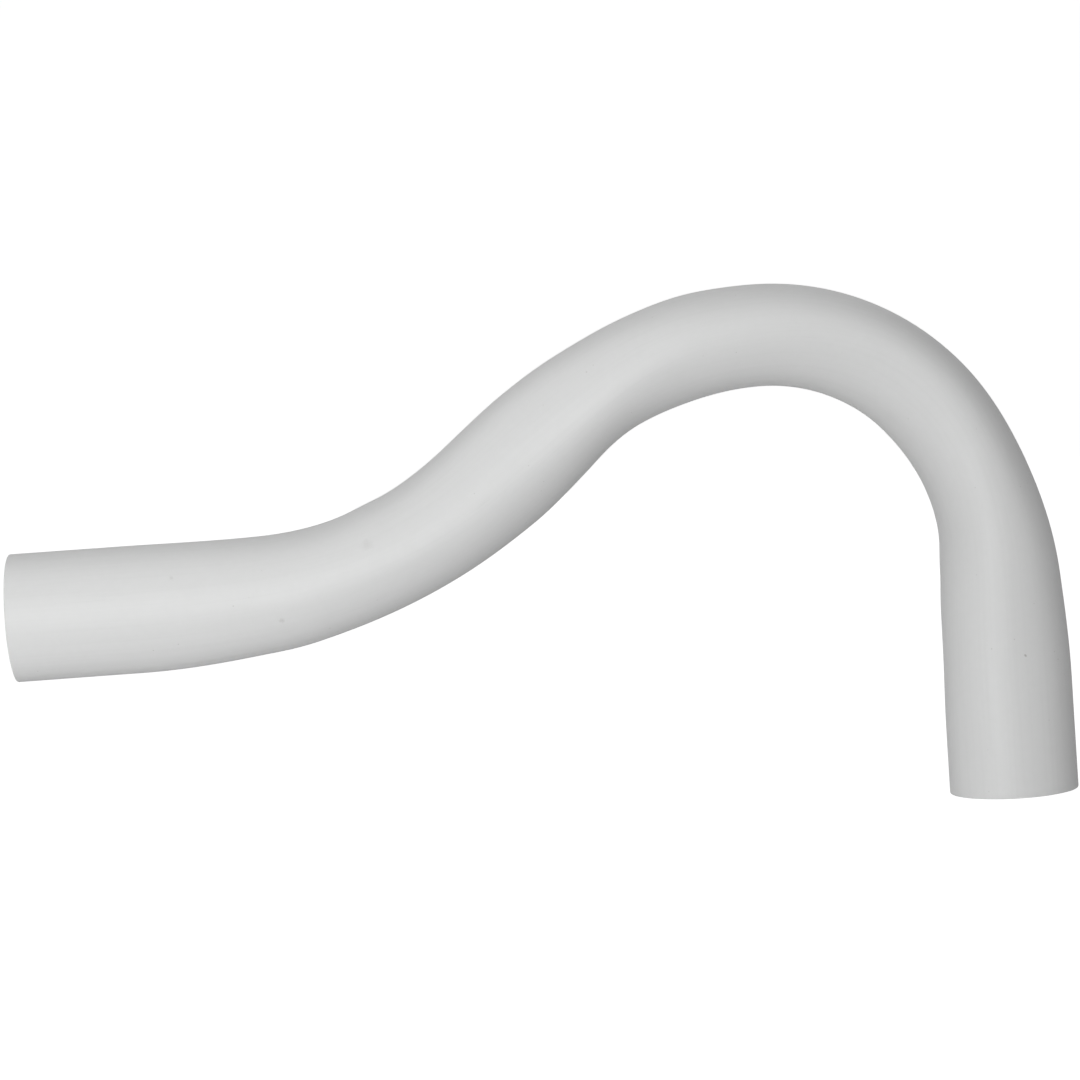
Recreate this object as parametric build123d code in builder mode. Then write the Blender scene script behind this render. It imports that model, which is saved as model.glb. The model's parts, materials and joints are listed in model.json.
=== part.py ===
from build123d import *
import math
import os

# Gooseneck conduit elbow: one length of rigid PVC conduit, bent hot in one plane.
#
# From the inlet the tube runs straight, kicks up, and turns over the crown to an outlet that points
# down, square to the inlet. Bending hot flattens the tube across each bend while the length of its
# circumference stays the same. Both ends stay round, so that couplings slide on.
#
# Millimetres and degrees. The origin is the centre of the inlet's end face. +X runs into the inlet,
# the bends lie in the XZ plane, and the outlet points along -Z.

# The conduit that the elbow is bent from.
OUTSIDE_DIAMETER = 40.0
WALL = 2.0

# Round ends that couplings slide on, and the cut edges broken by a deburring tool.
INLET_SPIGOT = 36.0
OUTLET_SPIGOT = 34.0
OUTER_DEBURR = 0.4
INNER_DEBURR = 0.5

# The centreline from the inlet's spigot to the outlet's: straights, and arcs by radius and angle.
INLET_STRAIGHT = 3.0
LEAD_IN_RADIUS = 450.0
LEAD_IN_ANGLE = 5.0
KICK_RADIUS = 134.0
KICK_ANGLE = 33.5
RISER_STRAIGHT = 30.0
CROWN_ENTRY_RADIUS = 103.0
CROWN_ENTRY_ANGLE = 38.0
CROWN_TOP_RADIUS = 67.0
CROWN_EXIT_RADIUS = 94.0
CROWN_EXIT_ANGLE = 31.5
OUTLET_STRAIGHT = 32.5
END_TO_END_TURN = 90.0

# How far each stretch is pressed flat across the bend, as a share of the outside radius. The crown's
# flattening is full between two places, each measured in from one of the crown's ends.
KICK_FLATTENING = 0.15
RISER_FLATTENING = 0.092
CROWN_FLATTENING = 0.205
CROWN_FULL_FROM_ENTRY = 23.0
CROWN_FULL_TO_EXIT = 42.5

# The wall on the outside of a bend is drawn flatter than the wall on its inside, which moves the
# widest line of the section towards the outside: down past the kick, and up over the crown. The
# last three sizes say where, from the start of the crown, the shift is full, nil and full again.
KICK_WIDEST_SHIFT = 4.2
CROWN_WIDEST_SHIFT = 4.6
KICK_SHIFT_FULL = 4.0
SHIFT_CROSSES_OVER = 52.0
CROWN_SHIFT_FULL = 117.0

# The cross-sections that the bent stretch is lofted through are about this far apart.
SECTION_SPACING = 7.0

outside_radius = OUTSIDE_DIAMETER / 2
bore_radius = outside_radius - WALL

# The crown turns back everything that the kick lifted, and then the elbow's own turn.
crown_turn = LEAD_IN_ANGLE + KICK_ANGLE + END_TO_END_TURN
crown_top_angle = crown_turn - CROWN_ENTRY_ANGLE - CROWN_EXIT_ANGLE

with BuildLine(Plane.XZ) as route:
    inlet = Line((0, 0), (INLET_SPIGOT + INLET_STRAIGHT, 0))
    lead_in = JernArc(inlet @ 1, inlet % 1, LEAD_IN_RADIUS, LEAD_IN_ANGLE)
    kick = JernArc(lead_in @ 1, lead_in % 1, KICK_RADIUS, KICK_ANGLE)
    riser = PolarLine(kick @ 1, RISER_STRAIGHT, direction=kick % 1)
    crown_entry = JernArc(riser @ 1, riser % 1, CROWN_ENTRY_RADIUS, -CROWN_ENTRY_ANGLE)
    crown_top = JernArc(crown_entry @ 1, crown_entry % 1, CROWN_TOP_RADIUS, -crown_top_angle)
    crown_exit = JernArc(crown_top @ 1, crown_top % 1, CROWN_EXIT_RADIUS, -CROWN_EXIT_ANGLE)
    outlet = PolarLine(crown_exit @ 1, OUTLET_STRAIGHT + OUTLET_SPIGOT, direction=crown_exit % 1)
centreline = route.wire()

# Distances along the centreline.
kick_start = inlet.length + lead_in.length
riser_start = kick_start + kick.length
crown_start = riser_start + riser.length
crown_end = centreline.length - outlet.length
bent_start = INLET_SPIGOT
bent_end = centreline.length - OUTLET_SPIGOT

# (distance, flattening) where the flattening peaks, dips or levels off.
FLATTENING_STATIONS = [
    (bent_start, 0.0),
    (kick_start + kick.length / 2, KICK_FLATTENING),
    (riser_start + riser.length / 2, RISER_FLATTENING),
    (crown_start + CROWN_FULL_FROM_ENTRY, CROWN_FLATTENING),
    (crown_end - CROWN_FULL_TO_EXIT, CROWN_FLATTENING),
    (bent_end, 0.0),
]

# (distance, how far the widest line lies towards the top of the section).
WIDEST_LINE_STATIONS = [
    (kick_start, 0.0),
    (crown_start + KICK_SHIFT_FULL, -KICK_WIDEST_SHIFT),
    (crown_start + SHIFT_CROSSES_OVER, 0.0),
    (crown_start + CROWN_SHIFT_FULL, CROWN_WIDEST_SHIFT),
    (crown_end, 0.0),
]


def eased_between(stations, distance):
    """The value at a distance along the centreline, eased from each station to the next."""
    for (here, before), (there, after) in zip(stations, stations[1:]):
        if here <= distance <= there:
            eased = (1 - math.cos(math.pi * (distance - here) / (there - here))) / 2
            return before + (after - before) * eased
    return 0.0


def plane_at(distance):
    """The plane square to the centreline at a distance along it, with its x axis across the bend."""
    return Plane(
        origin=centreline.position_at(distance, position_mode=PositionMode.LENGTH),
        x_dir=(0, 1, 0),
        z_dir=centreline.tangent_at(distance, position_mode=PositionMode.LENGTH),
    )


def ring_at(distance):
    """The round wall's cross-section at a distance along the centreline."""
    with BuildSketch(plane_at(distance)) as ring:
        Circle(outside_radius)
        Circle(bore_radius, mode=Mode.SUBTRACT)
    return ring.sketch


def section_at(distance, inset):
    """The flattened outline at a distance along the centreline, drawn in by an inset all round.

    It is half an ellipse above the widest line and half a deeper or shallower one below it. An
    ellipse's circumference is close to 2 pi times the root mean square of its half axes, so that
    mean is held at the conduit's own radius.
    """
    half_depth = outside_radius * (1 - eased_between(FLATTENING_STATIONS, distance))
    widest = eased_between(WIDEST_LINE_STATIONS, distance)
    half_width = math.sqrt(2 * outside_radius**2 - half_depth**2 - widest**2)
    with BuildSketch(plane_at(distance)) as outline:
        with BuildLine():
            above = half_depth - widest - inset
            below = half_depth + widest - inset
            EllipticalCenterArc((0, widest), half_width - inset, above, 0, arc_size=180)
            EllipticalCenterArc((0, widest), half_width - inset, below, 180, arc_size=180)
        make_face()
    return outline.sketch


def bent_sections(inset):
    """Cross-sections of the bent stretch, from one round end to the other."""
    length = bent_end - bent_start
    steps = math.ceil(length / SECTION_SPACING)
    return [section_at(bent_start + length * step / steps, inset) for step in range(steps + 1)]


with BuildPart() as conduit_tube:
    loft(sections=bent_sections(inset=0))
    loft(sections=bent_sections(inset=WALL), mode=Mode.SUBTRACT)

    extrude(ring_at(bent_start), amount=-INLET_SPIGOT)
    extrude(ring_at(bent_end), amount=OUTLET_SPIGOT)

    inlet_rim = conduit_tube.edges().group_by(Axis.X)[0].sort_by(SortBy.RADIUS)
    outlet_rim = conduit_tube.edges().group_by(Axis.Z)[0].sort_by(SortBy.RADIUS)
    chamfer([inlet_rim[0], outlet_rim[0]], INNER_DEBURR)
    chamfer([inlet_rim[-1], outlet_rim[-1]], OUTER_DEBURR)

os.makedirs("parts", exist_ok=True)
conduit_tube.part.label = "conduit_tube"
export_step(conduit_tube.part, "parts/conduit_tube.step")
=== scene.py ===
"""Looks of a gooseneck conduit elbow: one length of light grey rigid PVC conduit, bent hot in one plane.

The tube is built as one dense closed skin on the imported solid's own centreline and sections, with
the small bulges and unevenness that hot bending leaves, and it stands for the plain CAD node. Its
surface is coloured and roughened in unbent coordinates, those of the straight conduit before it was
bent, so that the extruded grain follows the bends. Everything is in metres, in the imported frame.
"""
import json
import math

import bpy
import numpy as np
from mathutils import Matrix, Vector, noise


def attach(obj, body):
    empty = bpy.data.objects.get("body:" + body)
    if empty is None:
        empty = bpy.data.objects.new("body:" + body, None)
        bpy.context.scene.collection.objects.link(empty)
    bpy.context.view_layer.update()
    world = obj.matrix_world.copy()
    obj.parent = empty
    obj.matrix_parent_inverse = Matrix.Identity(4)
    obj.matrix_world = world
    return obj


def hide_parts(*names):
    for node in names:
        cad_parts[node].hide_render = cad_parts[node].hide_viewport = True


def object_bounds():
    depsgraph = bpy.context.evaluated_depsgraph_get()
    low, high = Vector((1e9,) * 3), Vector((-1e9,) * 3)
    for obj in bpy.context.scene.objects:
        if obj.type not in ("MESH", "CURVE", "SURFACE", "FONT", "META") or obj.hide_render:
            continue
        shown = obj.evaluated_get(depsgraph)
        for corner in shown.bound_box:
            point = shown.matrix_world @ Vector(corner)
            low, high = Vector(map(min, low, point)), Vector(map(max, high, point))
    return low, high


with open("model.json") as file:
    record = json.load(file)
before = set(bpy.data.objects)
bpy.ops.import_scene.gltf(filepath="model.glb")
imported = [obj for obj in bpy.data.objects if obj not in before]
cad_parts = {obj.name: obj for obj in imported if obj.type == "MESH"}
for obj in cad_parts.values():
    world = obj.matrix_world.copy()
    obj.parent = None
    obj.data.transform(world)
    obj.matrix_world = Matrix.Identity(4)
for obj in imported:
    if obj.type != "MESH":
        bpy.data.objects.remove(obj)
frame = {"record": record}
CAD_LOW, CAD_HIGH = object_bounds()
CENTRE = (CAD_LOW + CAD_HIGH) / 2
INLET = next(mount for mount in frame["record"]["mounts"] if mount["name"] == "inlet_spigot")
MM = 0.001
SKIN, SAWN, BORE = range(3)

# ---------------------------------------------------------------------------------------------
# The conduit and its route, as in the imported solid
# ---------------------------------------------------------------------------------------------
OUTSIDE_RADIUS = INLET["dims"]["r_mm"] * MM
WALL = 2.0 * MM
INLET_SPIGOT = 36.0 * MM
OUTLET_SPIGOT = 34.0 * MM
OUTER_DEBURR = 0.4 * MM
INNER_DEBURR = 0.5 * MM

INLET_STRAIGHT = 3.0 * MM
LEAD_IN_RADIUS = 450.0 * MM
LEAD_IN_ANGLE = math.radians(5.0)
KICK_RADIUS = 134.0 * MM
KICK_ANGLE = math.radians(33.5)
RISER_STRAIGHT = 30.0 * MM
CROWN_ENTRY_RADIUS = 103.0 * MM
CROWN_ENTRY_ANGLE = math.radians(38.0)
CROWN_TOP_RADIUS = 67.0 * MM
CROWN_EXIT_RADIUS = 94.0 * MM
CROWN_EXIT_ANGLE = math.radians(31.5)
OUTLET_STRAIGHT = 32.5 * MM
END_TO_END_TURN = math.radians(90.0)
CROWN_TOP_ANGLE = LEAD_IN_ANGLE + KICK_ANGLE + END_TO_END_TURN - CROWN_ENTRY_ANGLE - CROWN_EXIT_ANGLE

KICK_FLATTENING = 0.15
RISER_FLATTENING = 0.092
CROWN_FLATTENING = 0.205
CROWN_FULL_FROM_ENTRY = 23.0 * MM
CROWN_FULL_TO_EXIT = 42.5 * MM

KICK_WIDEST_SHIFT = 4.2 * MM
CROWN_WIDEST_SHIFT = 4.6 * MM
KICK_SHIFT_FULL = 4.0 * MM
SHIFT_CROSSES_OVER = 52.0 * MM
CROWN_SHIFT_FULL = 117.0 * MM

# (length, turn) of each stretch of the centreline, from the inlet's end face to the outlet's.
ROUTE = [
    (INLET_SPIGOT + INLET_STRAIGHT, 0.0),
    (LEAD_IN_RADIUS * LEAD_IN_ANGLE, LEAD_IN_ANGLE),
    (KICK_RADIUS * KICK_ANGLE, KICK_ANGLE),
    (RISER_STRAIGHT, 0.0),
    (CROWN_ENTRY_RADIUS * CROWN_ENTRY_ANGLE, -CROWN_ENTRY_ANGLE),
    (CROWN_TOP_RADIUS * CROWN_TOP_ANGLE, -CROWN_TOP_ANGLE),
    (CROWN_EXIT_RADIUS * CROWN_EXIT_ANGLE, -CROWN_EXIT_ANGLE),
    (OUTLET_STRAIGHT + OUTLET_SPIGOT, 0.0),
]
ROUTE_LENGTH = sum(length for length, turn in ROUTE)
KICK_START = ROUTE[0][0] + ROUTE[1][0]
RISER_START = KICK_START + ROUTE[2][0]
CROWN_START = RISER_START + RISER_STRAIGHT
CROWN_END = ROUTE_LENGTH - ROUTE[-1][0]
BENT_START = INLET_SPIGOT
BENT_END = ROUTE_LENGTH - OUTLET_SPIGOT

FLATTENING_STATIONS = [
    (BENT_START, 0.0),
    ((KICK_START + RISER_START) / 2, KICK_FLATTENING),
    ((RISER_START + CROWN_START) / 2, RISER_FLATTENING),
    (CROWN_START + CROWN_FULL_FROM_ENTRY, CROWN_FLATTENING),
    (CROWN_END - CROWN_FULL_TO_EXIT, CROWN_FLATTENING),
    (BENT_END, 0.0),
]
WIDEST_LINE_STATIONS = [
    (KICK_START, 0.0),
    (CROWN_START + KICK_SHIFT_FULL, -KICK_WIDEST_SHIFT),
    (CROWN_START + SHIFT_CROSSES_OVER, 0.0),
    (CROWN_START + CROWN_SHIFT_FULL, CROWN_WIDEST_SHIFT),
    (CROWN_END, 0.0),
]


def route_at(distance):
    """The centreline's point and heading at a distance from the inlet's end face."""
    x, y, z = INLET["pos_m"]
    heading = 0.0
    for length, turn in ROUTE:
        step = min(distance, length)
        turned = turn * step / length
        chord = step if turned == 0.0 else step * math.sin(turned / 2) / (turned / 2)
        x += chord * math.cos(heading + turned / 2)
        z += chord * math.sin(heading + turned / 2)
        heading += turned
        distance -= step
    return Vector((x, y, z)), heading


def eased_between(stations, distance):
    """The value at a distance along the centreline, eased from each station to the next."""
    for (here, before), (there, after) in zip(stations, stations[1:]):
        if here <= distance <= there:
            eased = (1 - math.cos(math.pi * (distance - here) / (there - here))) / 2
            return before + (after - before) * eased
    return 0.0


def section_at(distance):
    """The outside of the section: half width, depths above and below its widest line, and that line."""
    half_depth = OUTSIDE_RADIUS * (1 - eased_between(FLATTENING_STATIONS, distance))
    widest = eased_between(WIDEST_LINE_STATIONS, distance)
    half_width = math.sqrt(2 * OUTSIDE_RADIUS**2 - half_depth**2 - widest**2)
    return half_width, half_depth - widest, half_depth + widest, widest


# ---------------------------------------------------------------------------------------------
# What bending and cutting leave on a real tube
# ---------------------------------------------------------------------------------------------
# Places round the section, as angles: the top and the underside are in the plane of the bends.
TOP = math.radians(90)
UNDERSIDE = math.radians(270)

# (distance, angle, reach along the tube, height): the wall drawn out, or in where height is negative.
BULGES = [
    (87 * MM, UNDERSIDE, 6 * MM, 0.25 * MM),
    (119 * MM, TOP, 5 * MM, 0.35 * MM),
    (164 * MM, UNDERSIDE, 7 * MM, 0.5 * MM),
    (227 * MM, UNDERSIDE, 11 * MM, 0.3 * MM),
    (235 * MM, TOP, 7 * MM, 0.35 * MM),
    (316 * MM, UNDERSIDE, 7 * MM, 0.25 * MM),
    (368 * MM, UNDERSIDE, 6 * MM, 0.75 * MM),
    (381 * MM, UNDERSIDE, 5 * MM, 0.3 * MM),
    (401 * MM, UNDERSIDE, 8 * MM, -0.4 * MM),
]
BULGE_SPREAD = math.radians(34)

UNEVENNESS = 0.1 * MM
UNEVENNESS_SIZE = 30.0 * MM
DEBURR_UNEVENNESS = 0.3
DEBURR_PATCH = 9.0 * MM
SAW_RIPPLE = 0.05 * MM
SAW_RIPPLE_SIZE = 3.0 * MM


def bell(offset, reach):
    return math.exp(-((offset / reach) ** 2) / 2)


def raised(distance, angle):
    """How far the wall stands out from its true section. The spigots' ends stay true."""
    around = Vector((0.0, OUTSIDE_RADIUS * math.cos(angle), OUTSIDE_RADIUS * math.sin(angle)))
    patch = noise.noise((around + Vector((distance, 0.0, 0.0))) / UNEVENNESS_SIZE)
    from_end = min(distance, ROUTE_LENGTH - distance)
    fade = min(from_end / INLET_SPIGOT, 1.0)
    height = -UNEVENNESS * fade * (0.5 + 0.5 * patch)
    for at, side, reach, rise in BULGES:
        turned = math.remainder(angle - side, 2 * math.pi)
        height += rise * bell(distance - at, reach) * bell(turned, BULGE_SPREAD)
    return height


def deburr_share(end, angle):
    """How wide the deburring tool's cut is here, as a share of its usual width."""
    around = Vector((end, OUTSIDE_RADIUS * math.cos(angle), OUTSIDE_RADIUS * math.sin(angle)))
    return 1 + DEBURR_UNEVENNESS * noise.noise(around / DEBURR_PATCH)


def sawn_back(end, inset, angle):
    """How far the saw's ripple lies behind the end face."""
    radius = OUTSIDE_RADIUS - inset
    place = Vector((end, 0.2 * radius * math.cos(angle), radius * math.sin(angle)))
    return SAW_RIPPLE * (0.5 + 0.5 * noise.noise(place / SAW_RIPPLE_SIZE))


# ---------------------------------------------------------------------------------------------
# The skin
# ---------------------------------------------------------------------------------------------
RING_SEGMENTS = 176
STATION_SPACING = 2.5 * MM
DEBURR_STEPS = 4
FACE_STEPS = 5


def rim_rows(end, angle):
    """(distance back from the end face, inset) pairs, from the outer skin over the rim to the bore."""
    share = deburr_share(end, angle)
    outer, inner = OUTER_DEBURR * share, INNER_DEBURR * share
    rows = []
    for step in range(DEBURR_STEPS + 1):
        turned = math.pi / 2 * step / DEBURR_STEPS
        rows.append((outer * (1 - math.sin(turned)), outer * (1 - math.cos(turned))))
    for step in range(1, FACE_STEPS):
        inset = outer + (WALL - outer - inner) * step / FACE_STEPS
        rows.append((sawn_back(end, inset, angle), inset))
    for step in range(DEBURR_STEPS + 1):
        turned = math.pi / 2 * step / DEBURR_STEPS
        rows.append((inner * (1 - math.cos(turned)), WALL - inner * (1 - math.sin(turned))))
    return rows


def wall_rows(angle):
    """The wall cut lengthwise at an angle: a closed loop of (distance, inset, kind of surface)."""
    margin = 2 * (OUTER_DEBURR + INNER_DEBURR)
    count = math.ceil((ROUTE_LENGTH - 2 * margin) / STATION_SPACING)
    stations = [margin + (ROUTE_LENGTH - 2 * margin) * step / count for step in range(count + 1)]
    outlet_rim = rim_rows(ROUTE_LENGTH, angle)
    inlet_rim = rim_rows(0.0, angle)
    rows = [(distance, 0.0, SKIN) for distance in stations]
    rows += [(ROUTE_LENGTH - back, inset, SAWN) for back, inset in outlet_rim]
    rows += [(distance, WALL, BORE) for distance in reversed(stations)]
    rows += [(back, inset, SAWN) for back, inset in reversed(inlet_rim)]
    return rows


def point_on_wall(distance, inset, angle):
    """Where a place on the unbent wall lies on the bent tube."""
    centre, heading = route_at(distance)
    half_width, above, below, widest = section_at(distance)
    inward = inset - raised(distance, angle)
    half_depth = above if math.sin(angle) > 0 else below
    across = (half_width - inward) * math.cos(angle)
    upward = widest + (half_depth - inward) * math.sin(angle)
    return centre + Vector((-upward * math.sin(heading), across, upward * math.cos(heading)))


def tube_mesh(name):
    """The whole surface as one closed grid of quads, with its unbent coordinates."""
    points, unbent = [], []
    for segment in range(RING_SEGMENTS):
        angle = 2 * math.pi * segment / RING_SEGMENTS
        rows = wall_rows(angle)
        for distance, inset, kind in rows:
            points.append(point_on_wall(distance, inset, angle))
            radius = OUTSIDE_RADIUS - inset
            unbent.append((distance, radius * math.cos(angle), radius * math.sin(angle)))
    kinds = [kind for distance, inset, kind in rows]
    faces, face_kinds = [], []
    for segment in range(RING_SEGMENTS):
        here, beside = segment * len(rows), (segment + 1) % RING_SEGMENTS * len(rows)
        for row in range(len(rows)):
            after = (row + 1) % len(rows)
            faces.append((here + row, beside + row, beside + after, here + after))
            face_kinds.append(kinds[after] if kinds[row] == SAWN else kinds[row])
    mesh = bpy.data.meshes.new(name)
    mesh.from_pydata(points, [], faces)
    mesh.polygons.foreach_set("material_index", face_kinds)
    mesh.polygons.foreach_set("use_smooth", [True] * len(faces))
    straight = mesh.attributes.new("unbent", "FLOAT_VECTOR", "POINT")
    straight.data.foreach_set("vector", np.array(unbent, np.float32).ravel())
    mesh.update()
    return mesh


# ---------------------------------------------------------------------------------------------
# Material nodes
# ---------------------------------------------------------------------------------------------
def add(tree, kind, inputs=None, **settings):
    """A node with its settings, and its inputs set or linked by name or number."""
    made = tree.nodes.new(kind)
    for key, value in settings.items():
        setattr(made, key, value)
    for key, value in (inputs or {}).items():
        if isinstance(value, bpy.types.NodeSocket):
            tree.links.new(value, made.inputs[key])
        else:
            made.inputs[key].default_value = value
    return made


def times(tree, a, b):
    return add(tree, "ShaderNodeMath", {0: a, 1: b}, operation="MULTIPLY").outputs[0]


def plus(tree, a, b):
    return add(tree, "ShaderNodeMath", {0: a, 1: b}, operation="ADD").outputs[0]


def ramp(tree, value, start, end, low=0.0, high=1.0):
    """value from start to end, turned into low to high and held beyond them."""
    inputs = {"Value": value, "From Min": start, "From Max": end, "To Min": low, "To Max": high}
    return add(tree, "ShaderNodeMapRange", inputs).outputs["Result"]


def tinted(tree, share, below, above):
    """The colour below, moved towards the colour above by a share."""
    made = add(tree, "ShaderNodeMix", data_type="RGBA")
    sockets = {socket.identifier: socket for socket in made.inputs}
    for name, value in (("Factor_Float", share), ("A_Color", below), ("B_Color", above)):
        if isinstance(value, bpy.types.NodeSocket):
            tree.links.new(value, sockets[name])
        else:
            sockets[name].default_value = value
    return next(socket for socket in made.outputs if socket.identifier == "Result_Color")


def grain(tree, place, size, stretch=(1.0, 1.0, 1.0), detail=3.0):
    """Noise from 0 to 1 in patches of about a size, longer by a stretch on each axis."""
    shrink = tuple(1 / (size * along) for along in stretch)
    scaled = add(tree, "ShaderNodeVectorMath", {0: place, 1: shrink}, operation="MULTIPLY")
    inputs = {"Vector": scaled.outputs[0], "Scale": 1.0, "Detail": detail, "Roughness": 0.55}
    return add(tree, "ShaderNodeTexNoise", inputs).outputs["Fac"]


def specks(tree, place, cell, radius, share):
    """1 in small dots, one in some share of the cells."""
    inputs = {"Vector": place, "Scale": 1 / cell}
    cells = add(tree, "ShaderNodeTexVoronoi", inputs)
    chance = add(tree, "ShaderNodeSeparateColor", {"Color": cells.outputs["Color"]})
    chosen = ramp(tree, chance.outputs[0], share, share * 0.9)
    near = ramp(tree, cells.outputs["Distance"], radius / cell, 0.4 * radius / cell)
    return times(tree, near, chosen)


def spot(tree, place, distance, angle, radius):
    """1 in one soft dot with a ragged edge, at a place on the skin."""
    at = (distance, OUTSIDE_RADIUS * math.cos(angle), OUTSIDE_RADIUS * math.sin(angle))
    away = add(tree, "ShaderNodeVectorMath", {0: place, 1: at}, operation="DISTANCE")
    ragged = ramp(tree, grain(tree, place, 0.9 * radius), 0.25, 0.75, -0.45 * radius, 0.45 * radius)
    return ramp(tree, plus(tree, away.outputs["Value"], ragged), radius, 0.2 * radius)


def new_tree(name):
    """An empty material, its node tree and the unbent coordinates in it."""
    material = bpy.data.materials.new(name)
    material.use_nodes = True
    tree = material.node_tree
    tree.nodes.clear()
    return material, tree, add(tree, "ShaderNodeAttribute", attribute_name="unbent").outputs["Vector"]


def finish_plastic(tree, colour, roughness, height):
    """The satin plastic shader. height is in millimetres."""
    bump = add(tree, "ShaderNodeBump", {"Height": height, "Distance": MM, "Strength": 1.0})
    inputs = {"Base Color": colour, "Roughness": roughness, "IOR": 1.53, "Normal": bump.outputs[0]}
    shader = add(tree, "ShaderNodeBsdfPrincipled", inputs)
    add(tree, "ShaderNodeOutputMaterial", {"Surface": shader.outputs["BSDF"]})


# ---------------------------------------------------------------------------------------------
# Rigid PVC
# ---------------------------------------------------------------------------------------------
PVC_GREY = (0.698, 0.699, 0.698, 1.0)
PVC_PALE = (0.731, 0.732, 0.731, 1.0)
PVC_DULL = (0.645, 0.646, 0.643, 1.0)
PVC_SAWN = (0.760, 0.765, 0.758, 1.0)
SPECK_BROWN = (0.220, 0.200, 0.180, 1.0)
SCUFF_GREY = (0.560, 0.565, 0.560, 1.0)

# (distance, angle, radius, share of colour): faint dark marks, all on the -Y side.
MARKS = [
    (398 * MM, math.radians(170), 0.6 * MM, 0.55),
    (52 * MM, math.radians(149), 0.9 * MM, 0.14),
    (84 * MM, math.radians(204), 1.0 * MM, 0.2),
    (116 * MM, math.radians(154), 2.6 * MM, 0.1),
]


def scuffs(tree, place):
    """Sparse rubbed marks: long ones from sliding in a bundle, and short ones from couplings."""
    where = ramp(tree, grain(tree, place, 26 * MM), 0.5, 0.62)
    slid = ramp(tree, grain(tree, place, 0.7 * MM, stretch=(34, 1, 1), detail=2.0), 0.66, 0.74)
    turned = ramp(tree, grain(tree, place, 5 * MM, stretch=(0.06, 1, 1), detail=2.0), 0.68, 0.76)
    return times(tree, where, plus(tree, slid, times(tree, turned, 0.5)))


def skin_material():
    """The outside: cloudy grey with fine extruded lines, mottling, scuffs and a few specks."""
    material, tree, place = new_tree("pvc_skin")
    cloud = ramp(tree, grain(tree, place, 34 * MM, stretch=(2, 1, 1)), 0.3, 0.7)
    mottle = ramp(tree, grain(tree, place, 2.4 * MM, detail=4.0), 0.3, 0.7)
    lines = grain(tree, place, 1.1 * MM, stretch=(70, 1, 1), detail=2.0)
    fine = grain(tree, place, 0.4 * MM)
    rubbed = scuffs(tree, place)
    dots = specks(tree, place, 2.6 * MM, 0.3 * MM, 0.09)

    colour = tinted(tree, times(tree, cloud, 0.3), PVC_GREY, PVC_PALE)
    colour = tinted(tree, times(tree, mottle, 0.14), colour, PVC_DULL)
    colour = tinted(tree, times(tree, ramp(tree, lines, 0.45, 0.75), 0.22), colour, PVC_DULL)
    colour = tinted(tree, times(tree, rubbed, 0.16), colour, SCUFF_GREY)
    colour = tinted(tree, times(tree, dots, 0.3), colour, SPECK_BROWN)
    for distance, angle, radius, share in MARKS:
        mark = times(tree, spot(tree, place, distance, angle, radius), share)
        colour = tinted(tree, mark, colour, SPECK_BROWN)

    roughness = plus(tree, ramp(tree, mottle, 0.0, 1.0, 0.42, 0.5), times(tree, rubbed, 0.1))
    height = plus(tree, times(tree, lines, 0.010), times(tree, fine, 0.005))
    height = plus(tree, height, times(tree, rubbed, -0.006))
    finish_plastic(tree, colour, roughness, height)
    return material


def sawn_material():
    """The cut ends: paler and matte, with the saw's scratches straight across the face."""
    material, tree, place = new_tree("pvc_sawn")
    scratches = grain(tree, place, 0.22 * MM, stretch=(4, 60, 1), detail=3.0)
    chatter = grain(tree, place, 1.4 * MM, stretch=(4, 14, 1), detail=2.0)
    patches = ramp(tree, grain(tree, place, 7 * MM), 0.35, 0.65)
    colour = tinted(tree, ramp(tree, scratches, 0.35, 0.65, 0.0, 0.35), PVC_SAWN, PVC_DULL)
    colour = tinted(tree, times(tree, patches, 0.25), colour, PVC_PALE)
    roughness = ramp(tree, scratches, 0.3, 0.7, 0.6, 0.75)
    height = plus(tree, times(tree, scratches, 0.04), times(tree, chatter, 0.05))
    finish_plastic(tree, colour, roughness, height)
    return material


def bore_material():
    """The inside: stronger die lines, and fine dust in patches."""
    material, tree, place = new_tree("pvc_bore")
    lines = grain(tree, place, 1.6 * MM, stretch=(90, 1, 1), detail=3.0)
    cloud = ramp(tree, grain(tree, place, 22 * MM, stretch=(2, 1, 1)), 0.3, 0.7)
    dust = ramp(tree, grain(tree, place, 0.8 * MM, detail=5.0), 0.5, 0.72)
    colour = tinted(tree, times(tree, cloud, 0.4), PVC_GREY, PVC_DULL)
    colour = tinted(tree, ramp(tree, lines, 0.4, 0.7, 0.0, 0.35), colour, PVC_DULL)
    colour = tinted(tree, times(tree, dust, 0.22), colour, PVC_SAWN)
    roughness = plus(tree, ramp(tree, lines, 0.3, 0.7, 0.36, 0.46), times(tree, dust, 0.2))
    height = plus(tree, times(tree, lines, 0.035), times(tree, dust, 0.008))
    finish_plastic(tree, colour, roughness, height)
    return material


def conduit():
    """The elbow itself, in place of its plain solid."""
    mesh = tube_mesh("pvc_conduit_tube")
    for material in (skin_material(), sawn_material(), bore_material()):
        mesh.materials.append(material)
    tube = bpy.data.objects.new("pvc_conduit_tube", mesh)
    bpy.context.scene.collection.objects.link(tube)
    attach(tube, "root")
    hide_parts("conduit_tube")


# ---------------------------------------------------------------------------------------------
# Studio
# ---------------------------------------------------------------------------------------------
CAMERA_ELEVATION = math.radians(4.2)
CAMERA_ROLL = math.radians(-4.1)
CAMERA_DISTANCE = 1.138
CAMERA_LENS = 121.7
AIM_FROM_CENTRE = Vector((1.4 * MM, 0.0, 7.1 * MM))

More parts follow.
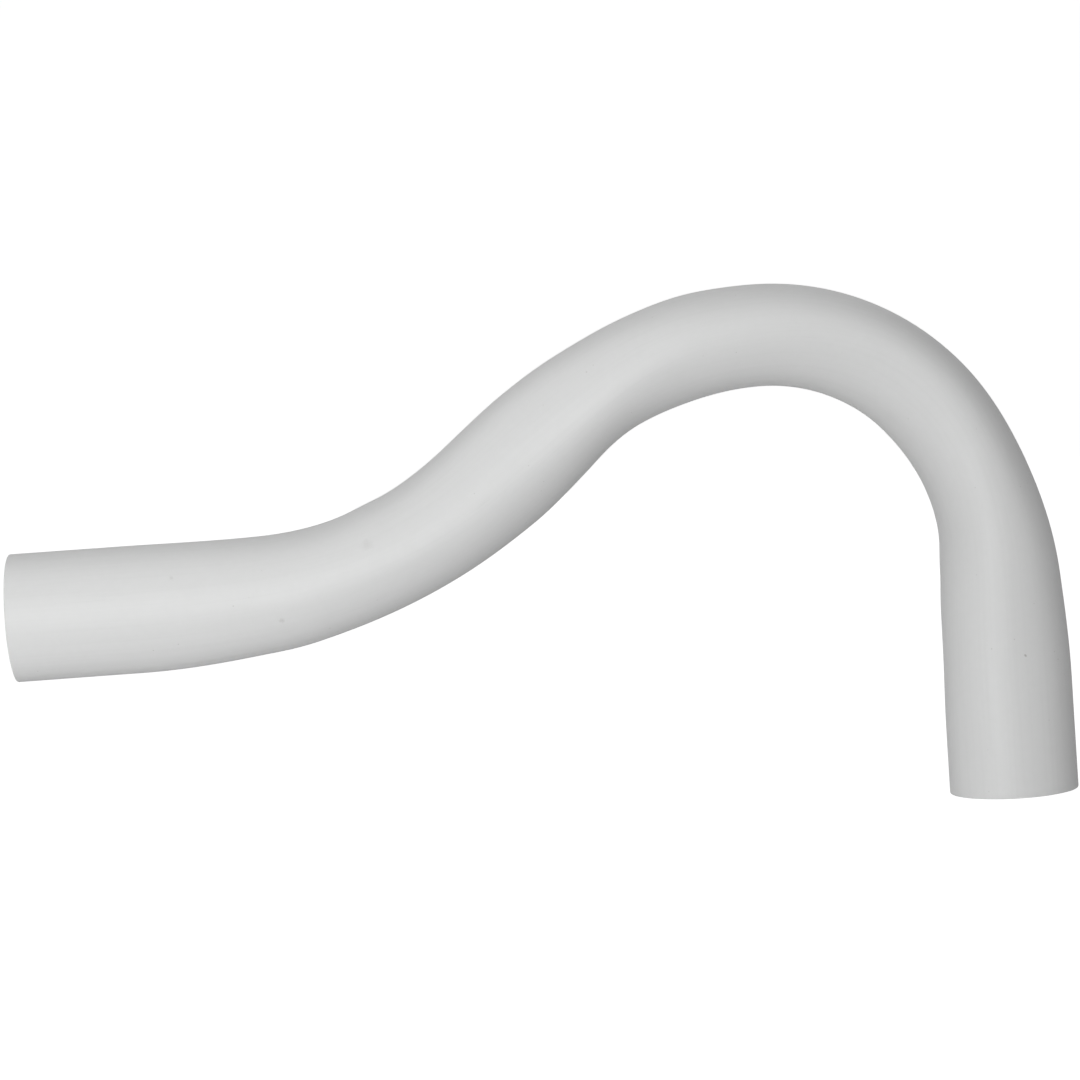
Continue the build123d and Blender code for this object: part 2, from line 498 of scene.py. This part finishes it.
SWEEP_FLAT_RADIUS = 2.4
SWEEP_BEND_RADIUS = 1.6
SWEEP_WALL_HEIGHT = 2.5
SWEEP_SEGMENTS = 96
SWEEP_FLAT_RINGS = 8
SWEEP_BEND_RINGS = 16
SWEEP_GREY = 0.3
SWEEP_GLOW = 0.92

# (name, azimuth, elevation, distance, width, height, power), in degrees, metres and watts. Azimuth 0 is
# the camera's side and -90 the inlet's.
LAMPS = [
    ("key_window", -25.0, 5.0, 0.55, 0.3, 0.5, 0.55),
    ("front_card", -15.0, 5.0, 0.8, 0.35, 0.7, 2.0),
    ("low_card", -50.0, -45.0, 0.8, 0.6, 0.6, 1.3),
    ("top_front", 0.0, 55.0, 0.8, 0.8, 0.6, 1.2),
    ("left_high", -90.0, 55.0, 1.6, 1.2, 1.2, 5.0),
    ("right_fill", 60.0, 10.0, 1.6, 1.2, 1.6, 4.9),
    ("floor_bounce", 0.0, -88.0, 1.6, 1.6, 1.6, 4.5),
    ("back_fill", 180.0, 15.0, 1.6, 1.6, 1.6, 3.0),
]
# The two nearest the camera are faintly cool, and the others are white.
TINTED_LAMPS = ("key_window", "front_card")
TINT = (0.988, 1.0, 0.995)
WHITE = (1.0, 1.0, 1.0)
STUDIO_GLOW = 0.235


def direction(azimuth, elevation):
    """The unit vector from the object towards a lamp or a camera."""
    level = math.cos(elevation)
    return Vector((math.sin(azimuth) * level, -math.cos(azimuth) * level, math.sin(elevation)))


def camera():
    """A long lens in front of the elbow, a little above it and turned about its own axis."""
    back = direction(0.0, CAMERA_ELEVATION)
    right = Vector((1.0, 0.0, 0.0))
    up = back.cross(right)
    rolled_right = right * math.cos(CAMERA_ROLL) + up * math.sin(CAMERA_ROLL)
    rolled_up = up * math.cos(CAMERA_ROLL) - right * math.sin(CAMERA_ROLL)
    turned = Matrix((rolled_right, rolled_up, back)).transposed().to_4x4()
    data = bpy.data.cameras.new("camera")
    data.lens = CAMERA_LENS
    data.clip_start, data.clip_end = 0.01, 50.0
    made = bpy.data.objects.new("camera", data)
    made.matrix_world = Matrix.Translation(CENTRE + AIM_FROM_CENTRE + back * CAMERA_DISTANCE) @ turned
    bpy.context.scene.collection.objects.link(made)
    bpy.context.scene.camera = made


def sweep_material():
    """Pale paper that glows a little, so that the ground stays even and shadows stay faint."""
    material = bpy.data.materials.new("pale_paper")
    material.use_nodes = True
    shader = material.node_tree.nodes["Principled BSDF"]
    shader.inputs["Base Color"].default_value = (SWEEP_GREY, SWEEP_GREY, SWEEP_GREY, 1.0)
    shader.inputs["Roughness"].default_value = 0.9
    shader.inputs["Emission Color"].default_value = (1.0, 1.0, 1.0, 1.0)
    shader.inputs["Emission Strength"].default_value = SWEEP_GLOW
    return material


def sweep():
    """A pale floor at the elbow's lowest point that curves up into a wall all round."""
    profile = []
    for ring in range(1, SWEEP_FLAT_RINGS + 1):
        profile.append((SWEEP_FLAT_RADIUS * ring / SWEEP_FLAT_RINGS, 0.0))
    for ring in range(1, SWEEP_BEND_RINGS + 1):
        angle = math.pi / 2 * ring / SWEEP_BEND_RINGS
        out = SWEEP_FLAT_RADIUS + SWEEP_BEND_RADIUS * math.sin(angle)
        profile.append((out, SWEEP_BEND_RADIUS * (1 - math.cos(angle))))
    profile.append((profile[-1][0], SWEEP_BEND_RADIUS + SWEEP_WALL_HEIGHT))
    floor = Vector((CENTRE.x, CENTRE.y, CAD_LOW.z))
    points = [floor]
    for radius, height in profile:
        for step in range(SWEEP_SEGMENTS):
            angle = 2 * math.pi * step / SWEEP_SEGMENTS
            points.append(floor + Vector((radius * math.cos(angle), radius * math.sin(angle), height)))
    faces = [(0, 1 + step, 1 + (step + 1) % SWEEP_SEGMENTS) for step in range(SWEEP_SEGMENTS)]
    for row in range(len(profile) - 1):
        here, there = 1 + row * SWEEP_SEGMENTS, 1 + (row + 1) * SWEEP_SEGMENTS
        for step in range(SWEEP_SEGMENTS):
            beside = (step + 1) % SWEEP_SEGMENTS
            faces.append((here + step, there + step, there + beside, here + beside))
    mesh = bpy.data.meshes.new("studio_sweep")
    mesh.from_pydata(points, [], faces)
    mesh.polygons.foreach_set("use_smooth", [True] * len(faces))
    mesh.materials.append(sweep_material())
    made = bpy.data.objects.new("studio_sweep", mesh)
    made.visible_diffuse = False
    made.visible_glossy = False
    made.visible_shadow = False
    bpy.context.scene.collection.objects.link(made)


def lamps():
    """Soft lamps that face the elbow, and an even glow from all round."""
    for name, azimuth, elevation, distance, width, height, power in LAMPS:
        back = direction(math.radians(azimuth), math.radians(elevation))
        data = bpy.data.lights.new(name, "AREA")
        data.shape = "RECTANGLE"
        data.size = width
        data.size_y = height
        data.energy = power
        data.color = TINT if name in TINTED_LAMPS else WHITE
        lamp = bpy.data.objects.new(name, data)
        lamp.location = CENTRE + back * distance
        lamp.rotation_mode = "QUATERNION"
        lamp.rotation_quaternion = back.to_track_quat("Z", "Y")
        lamp.visible_camera = False
        bpy.context.scene.collection.objects.link(lamp)
    world = bpy.data.worlds.new("studio_glow")
    world.use_nodes = True
    background = world.node_tree.nodes["Background"]
    background.inputs["Color"].default_value = (1.0, 1.0, 1.0, 1.0)
    background.inputs["Strength"].default_value = STUDIO_GLOW
    bpy.context.scene.world = world


bpy.context.scene.view_settings.view_transform = "Standard"
camera()
conduit()
sweep()
lamps()
